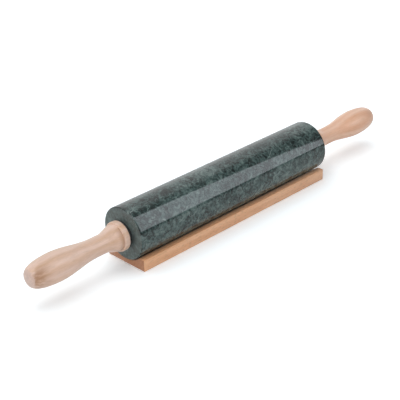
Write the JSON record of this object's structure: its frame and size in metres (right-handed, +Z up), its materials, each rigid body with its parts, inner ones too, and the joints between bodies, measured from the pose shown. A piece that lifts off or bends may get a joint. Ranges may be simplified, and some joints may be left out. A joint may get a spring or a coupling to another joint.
{
  "type": "marble rolling pin",
  "caption": "Marble rolling pin with turned wooden handles on a steel axle, lying in a low wooden cradle; it lifts off and its barrel spins.",
  "frame": {"origin": "on the table under the middle of the pin and its cradle", "axes": "+X along the pin towards the right handle, +Y across it away from the viewer, +Z up"},
  "size_m": [0.4654, 0.051, 0.0566],
  "materials": {
    "marble": "polished",
    "handle_wood": "satin",
    "cradle_wood": "satin",
    "steel": "drawn",
    "zinc_steel": "zinc plated",
    "brass": "turned",
    "black_nylon": "moulded"
  },
  "bodies": {
    "cradle": {"cradle": "cradle_wood"},
    "axle": {"axle_rod": "steel", "left_handle": "handle_wood", "right_handle": "handle_wood", "left_threaded_insert": "brass", "right_threaded_insert": "brass", "left_jam_nut": "zinc_steel", "right_jam_nut": "zinc_steel", "left_washer": "zinc_steel", "right_washer": "zinc_steel"},
    "barrel": {"marble_barrel": "marble", "left_bushing": "black_nylon", "right_bushing": "black_nylon"}
  },
  "joints": [
    {"name": "pin_lift", "type": "slide", "parent": "cradle", "child": "axle", "axis": [0, 0, 1], "range_m": [0, 0.12]},
    {"name": "barrel_spin", "type": "hinge", "parent": "axle", "child": "barrel", "pos_m": [0, 0, 0.0311], "axis": [1, 0, 0], "continuous": true}
  ]
}
